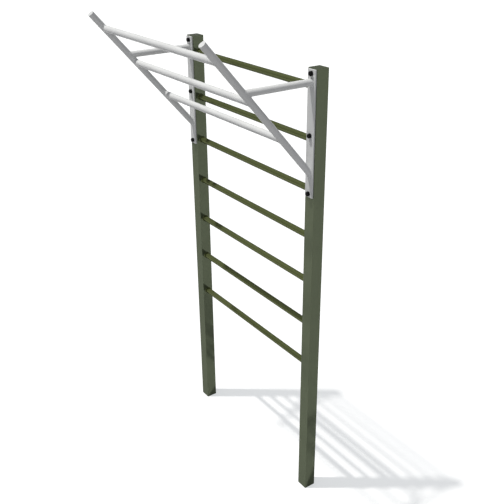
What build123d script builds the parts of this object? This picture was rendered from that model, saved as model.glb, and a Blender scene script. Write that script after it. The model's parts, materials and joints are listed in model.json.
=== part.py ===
from build123d import *

import os
from math import cos, radians, sin, tan

# Outdoor climbing ladder with an overhanging pull-up frame bolted to the tops of its two posts.
# Millimetres. The origin is on the ground, midway between the two posts. +Z is up, the rungs run
# along X, and the pull-up frame leans out over -Y, which is the front.

# ---- driving dimensions ------------------------------------------------------------------------

# Posts: square hollow section, closed by a welded lid.
post_size = 80
post_wall = 3
post_corner_radius = 2
post_height = 2900
post_spacing = 1285
lid_thickness = 4
lid_edge_radius = 1

# Round tube, the same for the rungs, the pull-up bars, the slanted tubes and the struts.
tube_diameter = 40
tube_wall = 2.5
saddle_trim = 3

# Rungs, counted from the top.
rung_count = 7
rung_pitch = 300
top_rung_height = 2792

# Mounting plates: flat bar on the front face of each post.
plate_width = 65
plate_thickness = 8
plate_length = 730
plate_below_post_top = 5
plate_edge_chamfer = 0.8
bolt_hole_diameter = 11
bolt_end_distance = 22.5
bolts_per_plate = 3

# Pull-up frame. Distances along a slanted tube start where its axis meets the plate's front.
slant_angle = 40.7
slant_foot_height = 2313.7
slant_length = 1034
end_cap_thickness = 3
bar_count = 3
outer_bar_distance = 908
bar_pitch = 304
strut_height = 2826

# M10 fasteners: hexagon bolt, washer, black cover cap, and a threaded bushing in the post's wall.
thread_diameter = 10
bolt_length = 25
bolt_head_across_flats = 16
bolt_head_height = 6.4
bolt_tip_chamfer = 1
washer_diameter = 20
washer_hole_diameter = 10.5
washer_thickness = 2
bushing_diameter = 20
bushing_length = 14
bushing_bore_diameter = 10.1
cap_diameter = 27
cap_height = 16
cap_cavity_diameter = 20.2
cap_cavity_depth = 9.5
cap_edge_radius = 5

# ---- worked out from them ----------------------------------------------------------------------

sides = {"left": -1, "right": 1}
post_front = -post_size / 2
plate_front = post_front - plate_thickness
plate_top = post_height - plate_below_post_top
plate_bottom = plate_top - plate_length
bolt_pitch = (plate_length - 2 * bolt_end_distance) / (bolts_per_plate - 1)
bolt_heights = [plate_top - bolt_end_distance - i * bolt_pitch for i in range(bolts_per_plate)]
tube_radius = tube_diameter / 2
tube_inner_radius = tube_radius - tube_wall
rung_length = post_spacing - post_size
slant = radians(slant_angle)


def side_x(side):
    """X of the post, plate, slanted tube and strut on one side."""
    return sides[side] * post_spacing / 2


def slant_plane(x, distance):
    """Plane square to a slanted tube, at a distance along its axis from the plate's front."""
    y = plate_front - distance * sin(slant)
    z = slant_foot_height + distance * cos(slant)
    return Plane(origin=(x, y, z), x_dir=(1, 0, 0), z_dir=(0, -sin(slant), cos(slant)))


def front_plane(x, y, z):
    """Vertical plane that faces the front, with its normal along -Y."""
    return Plane(origin=(x, y, z), x_dir=(1, 0, 0), z_dir=(0, -1, 0))


def bolt_planes(y):
    """Front planes at every bolt's axis, all at the same Y."""
    return [front_plane(side_x(side), y, z) for side in sides for z in bolt_heights]


def save(builder, name):
    """Label a finished piece and write its STEP file."""
    builder.part.label = name
    export_step(builder.part, f"parts/{name}.step")


os.makedirs("parts", exist_ok=True)

# ---- posts and their lids ----------------------------------------------------------------------


def make_post(side):
    """Square hollow post, open at the foot, with holes in its front wall for the bushings."""
    x = side_x(side)
    inner_size = post_size - 2 * post_wall
    with BuildPart() as post:
        with BuildSketch(Plane.XY):
            with Locations((x, 0)):
                RectangleRounded(post_size, post_size, post_corner_radius)
                Rectangle(inner_size, inner_size, mode=Mode.SUBTRACT)
        extrude(amount=post_height - lid_thickness)
        for z in bolt_heights:
            with BuildSketch(front_plane(x, post_front, z)):
                Circle(bushing_diameter / 2)
            extrude(amount=-2 * post_wall, mode=Mode.SUBTRACT)
    save(post, f"post_{side}")


def make_post_lid(side):
    """Flat steel lid that closes the top of a post, flush with its faces."""
    with BuildPart() as lid:
        with BuildSketch(Plane.XY.offset(post_height - lid_thickness)):
            with Locations((side_x(side), 0)):
                RectangleRounded(post_size, post_size, post_corner_radius)
        extrude(amount=lid_thickness)
        fillet(lid.faces().sort_by(Axis.Z)[-1].edges(), lid_edge_radius)
    save(lid, f"post_lid_{side}")


for side in sides:
    make_post(side)
    make_post_lid(side)

# ---- rungs -------------------------------------------------------------------------------------


def make_rung(number):
    """Round tube butt-welded between the inner faces of the posts."""
    height = top_rung_height - (number - 1) * rung_pitch
    with BuildPart() as rung:
        with BuildSketch(Plane(origin=(0, 0, height), x_dir=(0, 1, 0), z_dir=(1, 0, 0))):
            Circle(tube_radius)
            Circle(tube_inner_radius, mode=Mode.SUBTRACT)
        extrude(amount=rung_length / 2, both=True)
    save(rung, f"rung_{number}")


for number in range(1, rung_count + 1):
    make_rung(number)

# ---- pull-up frame: plates, slanted tubes, struts and bars -------------------------------------


def make_mounting_plate(side):
    """Flat bar with three bolt holes, its long edges lightly chamfered."""
    x = side_x(side)
    with BuildPart() as plate:
        with BuildSketch(front_plane(x, post_front, (plate_top + plate_bottom) / 2)):
            Rectangle(plate_width, plate_length)
        extrude(amount=plate_thickness)
        chamfer(plate.faces().sort_by(Axis.Y)[0].edges(), plate_edge_chamfer)
        for z in bolt_heights:
            with BuildSketch(front_plane(x, post_front, z)):
                Circle(bolt_hole_diameter / 2)
            extrude(amount=plate_thickness, mode=Mode.SUBTRACT)
    save(plate, f"mounting_plate_{side}")


def make_slanted_tube(side):
    """Tube that leans out from the plate, mitred to the plate's front and square at the tip."""
    x = side_x(side)
    mitre_allowance = tube_diameter / tan(slant)
    with BuildPart() as tube:
        with BuildSketch(slant_plane(x, -mitre_allowance)):
            Circle(tube_radius)
            Circle(tube_inner_radius, mode=Mode.SUBTRACT)
        extrude(amount=mitre_allowance + slant_length - end_cap_thickness)
        split(bisect_by=front_plane(x, plate_front, slant_foot_height), keep=Keep.TOP)
    save(tube, f"slanted_tube_{side}")


def make_tube_end_cap(side):
    """Flat disc that closes the tip of a slanted tube."""
    with BuildPart() as cap:
        with BuildSketch(slant_plane(side_x(side), slant_length - end_cap_thickness)):
            Circle(tube_radius)
        extrude(amount=end_cap_thickness)
    save(cap, f"tube_end_cap_{side}")


def make_strut(side):
    """Level tube from the plate to the slanted tube, with a saddle cut where they meet."""
    x = side_x(side)
    distance = (strut_height - slant_foot_height) / cos(slant)
    strut_length = distance * sin(slant) - saddle_trim
    with BuildPart() as strut:
        with BuildSketch(front_plane(x, plate_front, strut_height)):
            Circle(tube_radius)
            Circle(tube_inner_radius, mode=Mode.SUBTRACT)
        extrude(amount=strut_length)
        with BuildSketch(slant_plane(x, distance)):
            Circle(tube_radius)
        extrude(amount=2 * tube_diameter, both=True, mode=Mode.SUBTRACT)
    save(strut, f"strut_{side}")


def make_pull_up_bar(number):
    """Level bar between the slanted tubes, with a saddle cut at each end."""
    distance = outer_bar_distance - (number - 1) * bar_pitch
    bar_plane = slant_plane(0, distance)
    with BuildPart() as bar:
        with BuildSketch(Plane(origin=bar_plane.origin, x_dir=(0, 1, 0), z_dir=(1, 0, 0))):
            Circle(tube_radius)
            Circle(tube_inner_radius, mode=Mode.SUBTRACT)
        extrude(amount=post_spacing / 2 - saddle_trim, both=True)
        for side in sides:
            with BuildSketch(slant_plane(side_x(side), distance)):
                Circle(tube_radius)
            extrude(amount=2 * tube_diameter, both=True, mode=Mode.SUBTRACT)
    save(bar, f"pull_up_bar_{number}")


for side in sides:
    make_mounting_plate(side)
    make_slanted_tube(side)
    make_tube_end_cap(side)
    make_strut(side)

for number in range(1, bar_count + 1):
    make_pull_up_bar(number)

# ---- fasteners: one node for each kind ---------------------------------------------------------


def make_bushings():
    """Threaded bushings welded into the posts' front walls, flush with the outside."""
    with BuildPart() as bushings:
        for plane in bolt_planes(post_front):
            with BuildSketch(plane):
                Circle(bushing_diameter / 2)
                Circle(bushing_bore_diameter / 2, mode=Mode.SUBTRACT)
            extrude(amount=-bushing_length)
    save(bushings, "threaded_bushings")


def make_washers():
    """Flat washers between the plates and the bolt heads."""
    with BuildPart() as washers:
        for plane in bolt_planes(plate_front):
            with BuildSketch(plane):
                Circle(washer_diameter / 2)
                Circle(washer_hole_diameter / 2, mode=Mode.SUBTRACT)
            extrude(amount=washer_thickness)
    save(washers, "bolt_washers")


def make_bolts():
    """Hexagon bolts through the washers and plates into the bushings."""
    corner_radius = bolt_head_across_flats / 2 / cos(radians(30))
    with BuildPart() as bolts:
        for plane in bolt_planes(plate_front - washer_thickness):
            with BuildSketch(plane):
                RegularPolygon(corner_radius, 6)
            extrude(amount=bolt_head_height)
            with BuildSketch(plane):
                Circle(thread_diameter / 2)
            extrude(amount=-bolt_length)
        chamfer(bolts.faces().group_by(Axis.Y)[-1].edges(), bolt_tip_chamfer)
    save(bolts, "frame_bolts")


def make_bolt_caps():
    """Black cover caps: hollow, round-edged, standing on the plates over the bolt heads."""
    with BuildPart() as caps:
        for plane in bolt_planes(plate_front):
            with BuildSketch(plane):
                Circle(cap_diameter / 2)
            extrude(amount=cap_height)
        fillet(caps.faces().group_by(Axis.Y)[0].edges(), cap_edge_radius)
        for plane in bolt_planes(plate_front):
            with BuildSketch(plane):
                Circle(cap_cavity_diameter / 2)
            extrude(amount=cap_cavity_depth, mode=Mode.SUBTRACT)
    save(caps, "bolt_caps")


make_bushings()
make_washers()
make_bolts()
make_bolt_caps()
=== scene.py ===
import json
import math

import bmesh
import bpy
from mathutils import Matrix, Vector, noise


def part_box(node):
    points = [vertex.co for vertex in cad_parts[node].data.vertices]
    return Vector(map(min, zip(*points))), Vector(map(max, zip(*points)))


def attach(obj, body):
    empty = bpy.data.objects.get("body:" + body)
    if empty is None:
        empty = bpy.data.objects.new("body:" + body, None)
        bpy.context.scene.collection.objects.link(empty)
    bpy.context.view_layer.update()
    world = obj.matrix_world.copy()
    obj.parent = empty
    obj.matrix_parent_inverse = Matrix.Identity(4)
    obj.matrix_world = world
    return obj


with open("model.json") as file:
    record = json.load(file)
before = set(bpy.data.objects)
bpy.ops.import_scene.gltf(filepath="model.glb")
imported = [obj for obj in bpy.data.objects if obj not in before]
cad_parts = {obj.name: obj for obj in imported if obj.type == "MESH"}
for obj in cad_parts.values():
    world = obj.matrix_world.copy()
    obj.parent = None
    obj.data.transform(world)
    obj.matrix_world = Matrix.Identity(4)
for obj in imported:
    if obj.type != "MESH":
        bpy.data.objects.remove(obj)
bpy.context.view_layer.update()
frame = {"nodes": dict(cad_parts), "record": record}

# Looks of a steel climbing ladder with an overhanging pull-up frame. Metres, in the CAD's frame:
# the origin is on the ground midway between the posts, +Z is up, the rungs run along X, and the
# pull-up frame leans out over -Y. Every CAD node stays as it is and gets a procedural material;
# the weld beads, which the CAD leaves out, are built here.

MM = 0.001
SIDES = {"left": -1, "right": 1}
RUNG_COUNT = 7
BAR_COUNT = 3

# Camera: place in metres, angles in degrees, lens in millimetres on a 36 mm sensor.
CAMERA_PLACE = (3.7233, -2.5735, 3.7359)
CAMERA_AZIMUTH = 55.359
CAMERA_ELEVATION = 25.769
CAMERA_ROLL = -0.522
LENS = 52.958

# Lamp. Its direction points from the object to the lamp.
SUN_DIRECTION = (-0.2155, -0.299, 1.0)
SUN_STRENGTH = 3.3
SUN_SPREAD = math.radians(2.0)
SUN_COLOUR = (1.0, 0.99, 0.965)

# Sky. A place is the direction in which a soft light stands, and OVERHEAD fades to HORIZON over a
# range of cosines of the angle to its place. BELOW is the bounce that reaches the object from
# under the horizon, and BACKDROP is what the camera sees above it.
OVERHEAD = (0.60, 0.61, 0.63)
OVERHEAD_PLACE = (-0.25, -0.25, 1.0)
OVERHEAD_RANGE = (0.40, 1.0)
HORIZON = (0.24, 0.243, 0.25)
HORIZON_RANGE = (-0.02, 0.02)
BELOW = (0.29, 0.29, 0.293)
FILL = (0.46, 0.46, 0.47)
FILL_PLACE = (0.83, -0.40, -0.39)
BACKDROP = (0.90, 0.905, 0.91)

# Floor. Reflections show FLOOR_COLOUR. The camera sees FLOOR_SEEN on top of FLOOR_GLOW, which
# burns the lit floor out to white and keeps its shadows pale.
FLOOR_COLOUR = (0.90, 0.90, 0.90)
FLOOR_SEEN = (0.460, 0.456, 0.452)
FLOOR_GLOW = (0.528, 0.542, 0.552)
FLOOR_SHADES = (0.99, 1.01)
FLOOR_RADIUS = 80.0
FLOOR_CORNERS = 96


# ---- node helpers ------------------------------------------------------------------------------


class NodeTree:
    """Short calls for building one shader node tree."""

    def __init__(self, tree):
        self.tree = tree
        tree.nodes.clear()

    def add(self, kind, **settings):
        """New node. Each setting is one of the node's own values, or else the name of an input."""
        node = self.tree.nodes.new(kind)
        for key, value in settings.items():
            if hasattr(node, key):
                setattr(node, key, value)
            else:
                node.inputs[key.replace("_", " ")].default_value = value
        return node

    def link(self, source, target):
        self.tree.links.new(source, target)

    def math(self, operation, first, second=0.0, clamp=False):
        """Output of a Math node. Each operand is a number or another node's output."""
        node = self.tree.nodes.new("ShaderNodeMath")
        node.operation = operation
        node.use_clamp = clamp
        for socket, value in zip(node.inputs, (first, second)):
            if isinstance(value, (int, float)):
                socket.default_value = value
            else:
                self.link(value, socket)
        return node.outputs[0]

    def noise(self, position, scale, detail=3.0, roughness=0.5):
        """Noise from 0 to 1 at a position, with features about 1 / scale metres across."""
        node = self.add("ShaderNodeTexNoise", Scale=scale, Detail=detail, Roughness=roughness)
        self.link(position, node.inputs["Vector"])
        return node.outputs["Fac"]

    def towards(self, direction, place):
        """Cosine of the angle between a direction and the direction of a place."""
        node = self.add("ShaderNodeVectorMath", operation="DOT_PRODUCT")
        self.link(direction, node.inputs[0])
        node.inputs[1].default_value = Vector(place).normalized()
        return node.outputs["Value"]

    def remap(self, value, low, high, to_low=0.0, to_high=1.0):
        """Value from low..high to to_low..to_high, smooth and clamped."""
        node = self.add("ShaderNodeMapRange", interpolation_type="SMOOTHSTEP")
        for socket, number in zip(node.inputs[1:5], (low, high, to_low, to_high)):
            socket.default_value = number
        self.link(value, node.inputs[0])
        return node.outputs[0]

    def mix(self, factor, first, second):
        """Mix of two colours, each a tuple or another node's output."""
        node = self.add("ShaderNodeMix", data_type="RGBA")
        sockets = (node.inputs[0], node.inputs[6], node.inputs[7])
        for socket, value in zip(sockets, (factor, first, second)):
            if isinstance(value, (int, float)):
                socket.default_value = value
            elif isinstance(value, tuple):
                socket.default_value = (*value, 1.0)
            else:
                self.link(value, socket)
        return node.outputs[2]


def new_material(name):
    """Material with an empty node tree, and that tree's helper."""
    material = bpy.data.materials.new(name)
    material.use_nodes = True
    return material, NodeTree(material.node_tree)


def scaled(colour, factor):
    """Colour made lighter or darker by a factor."""
    return tuple(channel * factor for channel in colour)


def object_place(nodes):
    """Each point's place on the object, in metres."""
    return nodes.add("ShaderNodeTexCoord").outputs["Object"]


def finish_surface(nodes, shader, relief, strength, depth):
    """Gives a shader its bump and joins it to the material's output."""
    bump = nodes.add("ShaderNodeBump", Strength=strength, Distance=depth)
    nodes.link(relief, bump.inputs["Height"])
    nodes.link(bump.outputs["Normal"], shader.inputs["Normal"])
    output = nodes.add("ShaderNodeOutputMaterial")
    nodes.link(shader.outputs[0], output.inputs[0])


# ---- materials ---------------------------------------------------------------------------------

# Noises: features per metre, detail and roughness.
BLOTCHES = (7.0, 4.0, 0.55)
GRAINS = (260.0, 2.0, 0.6)
DUST_AND_PAINTED_TOP_TONE_PATCHES = (24.0, 5.0, 0.65)
SHEEN_CHANGES = (38.0, 4.0, 0.6)
ORANGE_PEEL = (420.0, 1.5, 0.45)
NYLON_CLOUDS = (90.0, 3.0, 0.5)
NYLON_GRAIN = (1600.0, 3.0, 0.6)
ZINC_GRAIN = (2200.0, 2.0, 0.5)
FLOOR_CLOUDS = (3.0, 4.0, 0.5)
NOISE_RANGE = (0.3, 0.7)

# Powder coat.
BLOTCH_SHADES = (0.965, 1.035)
GRAIN_SHADE = 0.75
GRAIN_SHARE = 0.10
SPECULAR_TINT = (0.3, 0.3, 0.3, 1.0)
PEEL_DEPTH = 0.2 * MM
PEEL_GRAIN = 0.35

# Wear: cosines of a rounded normal's turn at an edge, and how far the worn coat shows through.
EDGE_TURN = (0.985, 0.80)
PAINT_EDGE = 1.2 * MM
NYLON_EDGE = 0.8 * MM
WEAR_RAGGED = 0.6
WEAR_RANGE = (0.75, 1.45)
WEAR_SHARE = 0.55
NYLON_WEAR_SHARE = 0.35

# Dust on faces that look up, in patches, where it dulls the coat. Its colour is also a painted tone of
# the sunlit tops: yellower on the olive coats, a little darker on the off-white.
DUST_AND_PAINTED_TOP_TONE_SLOPE = (0.55, 1.0)
DUST_AND_PAINTED_TOP_TONE_RANGE = (0.42, 0.75)
DUST_AND_PAINTED_TOP_TONE_SHARE = 0.40
DUST_DULLING = 0.5

# Nylon and zinc.
NYLON_SHADES = ((0.0030, 0.0030, 0.0033), (0.0050, 0.0050, 0.0055))
NYLON_WORN = (0.012, 0.012, 0.012)
NYLON_ROUGHNESS = (0.42, 0.55)
NYLON_GRAIN_DEPTH = 0.1 * MM
ZINC_SHADES = ((0.50, 0.51, 0.53), (0.62, 0.63, 0.64))
ZINC_ROUGHNESS = (0.26, 0.42)
ZINC_SPANGLES = 700.0
ZINC_GRAIN_DEPTH = 0.05 * MM


def edge_mask(nodes, width):
    """1 on convex edges and 0 on flat faces, from how far a rounded normal turns."""
    bevel = nodes.add("ShaderNodeBevel", samples=6, Radius=width)
    geometry = nodes.add("ShaderNodeNewGeometry")
    dot = nodes.add("ShaderNodeVectorMath", operation="DOT_PRODUCT")
    nodes.link(bevel.outputs["Normal"], dot.inputs[0])
    nodes.link(geometry.outputs["Normal"], dot.inputs[1])
    return nodes.remap(dot.outputs["Value"], *EDGE_TURN)


def worn_coat(nodes, coat, grains, worn_colour):
    """Coat with the worn colour showing raggedly along its edges."""
    edges = edge_mask(nodes, PAINT_EDGE)
    ragged = nodes.math("ADD", edges, nodes.math("MULTIPLY", grains, WEAR_RAGGED))
    thin = nodes.remap(ragged, *WEAR_RANGE, 0.0, WEAR_SHARE)
    return nodes.mix(thin, coat, worn_colour)


def dust_and_painted_top_tone_share(nodes, place):
    """How much dust and painted top tone lies at a place: patches on faces that look up."""
    geometry = nodes.add("ShaderNodeNewGeometry")
    up = nodes.add("ShaderNodeSeparateXYZ")
    nodes.link(geometry.outputs["Normal"], up.inputs[0])
    settled = nodes.remap(up.outputs["Z"], *DUST_AND_PAINTED_TOP_TONE_SLOPE)
    patches = nodes.remap(nodes.noise(place, *DUST_AND_PAINTED_TOP_TONE_PATCHES), *DUST_AND_PAINTED_TOP_TONE_RANGE)
    return nodes.math("MULTIPLY", nodes.math("MULTIPLY", settled, patches), DUST_AND_PAINTED_TOP_TONE_SHARE)


def powder_coat(name, colour, gloss, worn_colour, dust_and_painted_top_tone_colour, peel, flake, ior):
    """Powder-coated steel: orange peel, faint blotches, thin coat along edges, and dust on top whose
    colour also paints the tone of the sunlit tops.
    """
    material, nodes = new_material(name)
    place = object_place(nodes)
    blotches = nodes.noise(place, *BLOTCHES)
    grains = nodes.noise(place, *GRAINS)
    dark, light = (scaled(colour, shade) for shade in BLOTCH_SHADES)
    coat = nodes.mix(nodes.remap(blotches, *NOISE_RANGE), dark, light)
    coat = nodes.mix(nodes.math("MULTIPLY", grains, GRAIN_SHARE), coat, scaled(colour, GRAIN_SHADE))
    coat = worn_coat(nodes, coat, grains, worn_colour)
    # Painted top tone: the dust colour, laid on faces that look up, also stands in for how the sun
    # lights and tints the tops.
    dust_and_painted_top_tone = dust_and_painted_top_tone_share(nodes, place)
    coat = nodes.mix(dust_and_painted_top_tone, coat, dust_and_painted_top_tone_colour)

    shader = nodes.add("ShaderNodeBsdfPrincipled", IOR=ior, Metallic=flake)
    shader.inputs["Specular Tint"].default_value = SPECULAR_TINT
    nodes.link(coat, shader.inputs["Base Color"])
    sheen = nodes.remap(nodes.noise(place, *SHEEN_CHANGES), *NOISE_RANGE, *gloss)
    rough = nodes.math("ADD", sheen, nodes.math("MULTIPLY", dust_and_painted_top_tone, DUST_DULLING), clamp=True)
    nodes.link(rough, shader.inputs["Roughness"])
    wavy = nodes.noise(place, *ORANGE_PEEL)
    relief = nodes.math("ADD", wavy, nodes.math("MULTIPLY", grains, PEEL_GRAIN))
    finish_surface(nodes, shader, relief, peel, PEEL_DEPTH)
    return material


def black_nylon(name):
    """Moulded matt nylon with a fine spark-eroded grain, paler along its edges."""
    material, nodes = new_material(name)
    place = object_place(nodes)
    cloudy = nodes.noise(place, *NYLON_CLOUDS)
    colour = nodes.mix(nodes.remap(cloudy, *NOISE_RANGE), *NYLON_SHADES)
    worn = nodes.math("MULTIPLY", edge_mask(nodes, NYLON_EDGE), NYLON_WEAR_SHARE)
    colour = nodes.mix(worn, colour, NYLON_WORN)
    shader = nodes.add("ShaderNodeBsdfPrincipled", IOR=1.15)
    nodes.link(colour, shader.inputs["Base Color"])
    nodes.link(nodes.remap(cloudy, *NOISE_RANGE, *NYLON_ROUGHNESS), shader.inputs["Roughness"])
    finish_surface(nodes, shader, nodes.noise(place, *NYLON_GRAIN), 0.35, NYLON_GRAIN_DEPTH)
    return material


def zinc_plate(name):
    """Bright zinc plate with a faint spangle, in which each grain has its own shade and gloss."""
    material, nodes = new_material(name)
    place = object_place(nodes)
    spangle = nodes.add("ShaderNodeTexVoronoi", Scale=ZINC_SPANGLES)
    nodes.link(place, spangle.inputs["Vector"])
    cell = nodes.add("ShaderNodeSeparateColor")
    nodes.link(spangle.outputs["Color"], cell.inputs[0])
    colour = nodes.mix(cell.outputs[0], *ZINC_SHADES)
    shader = nodes.add("ShaderNodeBsdfPrincipled", Metallic=1.0)
    nodes.link(colour, shader.inputs["Base Color"])
    nodes.link(nodes.remap(cell.outputs[1], 0.0, 1.0, *ZINC_ROUGHNESS), shader.inputs["Roughness"])
    finish_surface(nodes, shader, nodes.noise(place, *ZINC_GRAIN), 0.15, ZINC_GRAIN_DEPTH)
    return material


OLIVE_POST = (0.106, 0.124, 0.080)
OLIVE_RUNG = (0.103, 0.119, 0.048)
OFF_WHITE = (0.604, 0.610, 0.608)

# Each dust colour is also a painted tone of the sunlit tops: saturated yellow-green on the olive coats,
# a darker warm white on the frame.
materials = {
    "post_paint": powder_coat(
        "post_paint", OLIVE_POST, gloss=(0.08, 0.12), worn_colour=(0.16, 0.18, 0.12),
        dust_and_painted_top_tone_colour=(0.100, 0.135, 0.035), peel=0.12, flake=0.47, ior=1.2,
    ),
    "rung_paint": powder_coat(
        "rung_paint", OLIVE_RUNG, gloss=(0.14, 0.22), worn_colour=(0.16, 0.18, 0.11),
        dust_and_painted_top_tone_colour=(0.100, 0.130, 0.040), peel=0.12, flake=0.47, ior=1.2,
    ),
    "frame_paint": powder_coat(
        "frame_paint", OFF_WHITE, gloss=(0.34, 0.46), worn_colour=(0.45, 0.45, 0.44),
        dust_and_painted_top_tone_colour=(0.58, 0.575, 0.55), peel=0.22, flake=0.0, ior=1.3,
    ),
    "black_plastic": black_nylon("black_plastic"),
    "zinc_plated_steel": zinc_plate("zinc_plated_steel"),
}

for part in frame["record"]["subparts"]:
    slots = frame["nodes"][part["node"]].material_slots
    for material_slot in slots:
        material_slot.material = materials[part["material_slot"]]


# ---- weld beads --------------------------------------------------------------------------------

BEAD_LEG = 4.0 * MM
BEAD_BULGE = 0.9 * MM
BEAD_SINK = 0.25 * MM
BEAD_ROOT_DEPTH = 1.0 * MM
BEAD_SECTION_POINTS = 7
RIPPLE_PITCH = 2.4 * MM
RIPPLE_SHRINK = 0.11
RINGS_PER_RIPPLE = 5
TRACK_POINTS = 360
WANDER_SCALE = 90.0
WANDER_SHARE = 0.10
SADDLE_ROUNDING = 3.0 * MM


class Cylinder:
    """Endless round surface, given by a point on its axis, the axis's direction and its radius."""

    def __init__(self, point, axis, radius):
        self.point = Vector(point)
        self.axis = Vector(axis).normalized()
        self.radius = radius

    def outward(self, place):
        """Normal of the surface nearest to a place."""
        offset = place - self.point
        return (offset - self.axis * offset.dot(self.axis)).normalized()

    def height(self, place):
        """Distance of a place above the surface."""
        offset = place - self.point
        return (offset - self.axis * offset.dot(self.axis)).length - self.radius


class Flat:
    """Endless flat surface, given by a point on it and its outward normal."""

    def __init__(self, point, normal):
        self.point = Vector(point)
        self.normal = Vector(normal).normalized()

    def outward(self, place):
        """Normal of the surface, the same at every place."""
        return self.normal.copy()

    def height(self, place):
        """Distance of a place above the surface."""
        return (place - self.point).dot(self.normal)


def meeting_place(branch, surface, angle, rounding=0.0):
    """Where the line along a branch's surface at an angle first meets the other surface."""
    across = branch.axis.orthogonal().normalized()
    around = branch.axis.cross(across)
    start = branch.point + (across * math.cos(angle) + around * math.sin(angle)) * branch.radius
    if isinstance(surface, Flat):
        distance = -surface.height(start) / branch.axis.dot(surface.normal)
        return start + branch.axis * distance
    offset = start - surface.point
    offset -= surface.axis * offset.dot(surface.axis)
    step = branch.axis - surface.axis * branch.axis.dot(surface.axis)
    half = offset.dot(step)
    spread = half * half - step.length_squared * (offset.length_squared - surface.radius ** 2)
    root = math.sqrt(max(spread, 0.0) + (rounding * step.length_squared) ** 2)
    return start + branch.axis * (-half - root) / step.length_squared


def settle(place, surface):
    """The place moved onto a surface."""
    return place - surface.outward(place) * surface.height(place)


def bead_section(place, tangent, branch, surface, size):
    """Cross-section of a fillet weld: a root under both surfaces, and an arch between its toes."""
    branch_normal = branch.outward(place)
    surface_normal = surface.outward(place)
    along_branch = tangent.cross(branch_normal).normalized()
    if along_branch.dot(branch.axis) > 0:
        along_branch.negate()
    along_surface = tangent.cross(surface_normal).normalized()
    if along_surface.dot(branch_normal + branch.axis) < 0:
        along_surface.negate()
    leg = BEAD_LEG * size
    toe = settle(place + along_branch * leg, branch) - branch_normal * BEAD_SINK
    heel = settle(place + along_surface * leg, surface) - surface_normal * BEAD_SINK
    crown = (branch_normal + surface_normal).normalized()
    points = [place - crown * BEAD_ROOT_DEPTH]
    for step in range(BEAD_SECTION_POINTS):
        share = step / (BEAD_SECTION_POINTS - 1)
        rise = math.sin(math.pi * share) * BEAD_BULGE * size
        points.append(toe.lerp(heel, share) + crown * rise)
    return points


def weld_bead(name, branch, surface, slot, rounding=0.0, seed=0.0):
    """Rippled fillet weld all round a tube where it meets a flat face or another tube."""
    angles = [2 * math.pi * i / TRACK_POINTS for i in range(TRACK_POINTS)]
    track = [meeting_place(branch, surface, angle, rounding) for angle in angles]
    length = sum((track[i] - track[i - 1]).length for i in range(TRACK_POINTS))
    rings = round(length / RIPPLE_PITCH) * RINGS_PER_RIPPLE
    mesh = bmesh.new()
    loops = []
    for ring in range(rings):
        angle = 2 * math.pi * ring / rings
        small = math.pi / rings
        place = meeting_place(branch, surface, angle, rounding)
        ahead = meeting_place(branch, surface, angle + small, rounding)
        behind = meeting_place(branch, surface, angle - small, rounding)
        phase = (ring / RINGS_PER_RIPPLE) % 1.0
        wander = noise.noise(place * WANDER_SCALE + Vector((seed, 0, 0)))
        size = 1.0 + WANDER_SHARE * wander - RIPPLE_SHRINK * phase ** 2
        section = bead_section(place, (ahead - behind).normalized(), branch, surface, size)
        loops.append([mesh.verts.new(point) for point in section])
    count = len(loops[0])
    for ring in range(rings):
        here = loops[ring]
        after = loops[(ring + 1) % rings]
        for i in range(count):
            j = (i + 1) % count
            mesh.faces.new((here[i], here[j], after[j], after[i]))
    bmesh.ops.recalc_face_normals(mesh, faces=mesh.faces)
    data = bpy.data.meshes.new(name)
    mesh.to_mesh(data)
    mesh.free()
    data.polygons.foreach_set("use_smooth", [True] * len(data.polygons))
    data.materials.append(materials[slot])
    piece = bpy.data.objects.new(name, data)
    bpy.context.scene.collection.objects.link(piece)
    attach(piece, "root")


def centre(node):
    """Middle of a node's box."""
    low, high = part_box(node)
    return (low + high) / 2


def radius_of(node):
    """Radius of a tube, from its box along X or Z."""
    low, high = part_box(node)
    return min(high.x - low.x, high.z - low.z) / 2


BAR_AXIS = Vector((1, 0, 0))
SLANT_AXIS = (centre("pull_up_bar_1") - centre("pull_up_bar_3")).normalized()


def slanted_cylinder(side):
    """Cylinder of a slanted tube: the bars' axes cross its axis."""
    node = f"slanted_tube_{side}"
    point = Vector((centre(node).x, centre("pull_up_bar_1").y, centre("pull_up_bar_1").z))
    return Cylinder(point, SLANT_AXIS, radius_of(node))


def plate_face(side):
    """Front face of a mounting plate."""
    return Flat(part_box(f"mounting_plate_{side}")[0], (0, -1, 0))


def post_inner_face(side):
    """Face of a post that the rungs are welded to."""
    low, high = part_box(f"post_{side}")
    return Flat((low.x if side == "right" else high.x, 0, 0), (-SIDES[side], 0, 0))


seed = 0
for side, direction in SIDES.items():
    slanted = slanted_cylinder(side)
    for number in range(1, RUNG_COUNT + 1):
        node = f"rung_{number}"
        rung = Cylinder(centre(node), BAR_AXIS * direction, radius_of(node))
        weld_bead(f"weld_rung_{number}_{side}", rung, post_inner_face(side), "rung_paint", seed=seed)
        seed += 1
    for number in range(1, BAR_COUNT + 1):
        node = f"pull_up_bar_{number}"
        bar = Cylinder(centre(node), BAR_AXIS * direction, radius_of(node))
        weld_bead(f"weld_bar_{number}_{side}", bar, slanted, "frame_paint", SADDLE_ROUNDING, seed)
        seed += 1
    strut_node = f"strut_{side}"
    strut_out = Cylinder(centre(strut_node), (0, -1, 0), radius_of(strut_node))
    strut_in = Cylinder(centre(strut_node), (0, 1, 0), radius_of(strut_node))
    slanted_foot = Cylinder(slanted.point, -SLANT_AXIS, slanted.radius)
    weld_bead(f"weld_strut_tip_{side}", strut_out, slanted, "frame_paint", SADDLE_ROUNDING, seed)
    weld_bead(f"weld_strut_root_{side}", strut_in, plate_face(side), "frame_paint", seed=seed + 1)
    weld_bead(f"weld_slanted_foot_{side}", slanted_foot, plate_face(side), "frame_paint", seed=seed + 2)
    seed += 3


# ---- floor, light and camera -------------------------------------------------------------------


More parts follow.
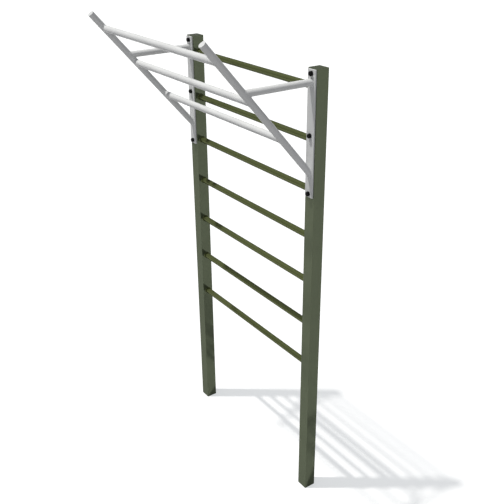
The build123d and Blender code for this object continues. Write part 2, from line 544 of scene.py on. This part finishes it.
def mottled_diffuse(nodes, place, colour):
    """Matt shader of one colour with very faint clouds."""
    dark, light = (scaled(colour, shade) for shade in FLOOR_SHADES)
    shader = nodes.add("ShaderNodeBsdfDiffuse")
    nodes.link(nodes.mix(nodes.noise(place, *FLOOR_CLOUDS), dark, light), shader.inputs["Color"])
    return shader


def camera_choice(nodes, others_see, camera_sees):
    """One shader for rays straight from the camera and another for all other rays."""
    choice = nodes.add("ShaderNodeMixShader")
    nodes.link(nodes.add("ShaderNodeLightPath").outputs["Is Camera Ray"], choice.inputs[0])
    nodes.link(others_see.outputs[0], choice.inputs[1])
    nodes.link(camera_sees.outputs[0], choice.inputs[2])
    return choice


def make_floor():
    """Wide plain pale floor. Diffuse light passes it, so that the sky below sets the bounce."""
    mesh = bmesh.new()
    bmesh.ops.create_circle(mesh, cap_ends=True, segments=FLOOR_CORNERS, radius=FLOOR_RADIUS)
    data = bpy.data.meshes.new("floor")
    mesh.to_mesh(data)
    mesh.free()
    floor = bpy.data.objects.new("floor", data)
    bpy.context.scene.collection.objects.link(floor)
    material, nodes = new_material("studio_floor")
    place = object_place(nodes)
    mirrored = mottled_diffuse(nodes, place, FLOOR_COLOUR)
    seen = nodes.add("ShaderNodeAddShader")
    nodes.link(mottled_diffuse(nodes, place, FLOOR_SEEN).outputs[0], seen.inputs[0])
    nodes.link(nodes.add("ShaderNodeEmission", Color=(*FLOOR_GLOW, 1.0)).outputs[0], seen.inputs[1])
    output = nodes.add("ShaderNodeOutputMaterial")
    nodes.link(camera_choice(nodes, mirrored, seen).outputs[0], output.inputs[0])
    data.materials.append(material)
    floor.visible_diffuse = False


def make_sky():
    """Soft studio light: a wide panel overhead, a dim horizon, a low fill, a bounce from below."""
    world = bpy.data.worlds.new("studio")
    world.use_nodes = True
    bpy.context.scene.world = world
    nodes = NodeTree(world.node_tree)
    direction = nodes.add("ShaderNodeTexCoord").outputs["Generated"]
    height = nodes.add("ShaderNodeSeparateXYZ")
    nodes.link(direction, height.inputs[0])
    panel = nodes.remap(nodes.towards(direction, OVERHEAD_PLACE), *OVERHEAD_RANGE)
    above = nodes.mix(panel, HORIZON, OVERHEAD)
    surround = nodes.mix(nodes.remap(height.outputs["Z"], *HORIZON_RANGE), BELOW, above)
    facing = nodes.math("MAXIMUM", nodes.towards(direction, FILL_PLACE), 0.0)
    fill = nodes.add("ShaderNodeVectorMath", operation="SCALE")
    nodes.link(nodes.math("MULTIPLY", facing, facing), fill.inputs["Scale"])
    fill.inputs[0].default_value = FILL
    total = nodes.add("ShaderNodeVectorMath", operation="ADD")
    nodes.link(surround, total.inputs[0])
    nodes.link(fill.outputs[0], total.inputs[1])
    light = nodes.add("ShaderNodeBackground")
    nodes.link(total.outputs[0], light.inputs["Color"])
    backdrop = nodes.add("ShaderNodeBackground", Color=(*BACKDROP, 1.0))
    output = nodes.add("ShaderNodeOutputWorld")
    nodes.link(camera_choice(nodes, light, backdrop).outputs[0], output.inputs[0])


def make_sun():
    """One soft lamp from high up at the front left."""
    lamp = bpy.data.lights.new("key_light", "SUN")
    lamp.energy = SUN_STRENGTH
    lamp.angle = SUN_SPREAD
    lamp.color = SUN_COLOUR
    sun = bpy.data.objects.new("key_light", lamp)
    bpy.context.scene.collection.objects.link(sun)
    sun.rotation_euler = Vector(SUN_DIRECTION).to_track_quat("Z", "Y").to_euler()


def make_camera():
    """Camera at the front right, looking down. Azimuth 0 looks along +Y and 90 along -X."""
    data = bpy.data.cameras.new("camera")
    data.sensor_width = 36.0
    data.lens = LENS
    camera = bpy.data.objects.new("camera", data)
    bpy.context.scene.collection.objects.link(camera)
    turn = Matrix.Rotation(math.radians(CAMERA_AZIMUTH), 4, "Z")
    tilt = Matrix.Rotation(math.radians(90 - CAMERA_ELEVATION), 4, "X")
    roll = Matrix.Rotation(math.radians(CAMERA_ROLL), 4, "Z")
    camera.matrix_world = Matrix.Translation(CAMERA_PLACE) @ turn @ tilt @ roll
    bpy.context.scene.camera = camera


make_floor()
make_sky()
make_sun()
make_camera()
bpy.context.scene.view_settings.view_transform = "Standard"
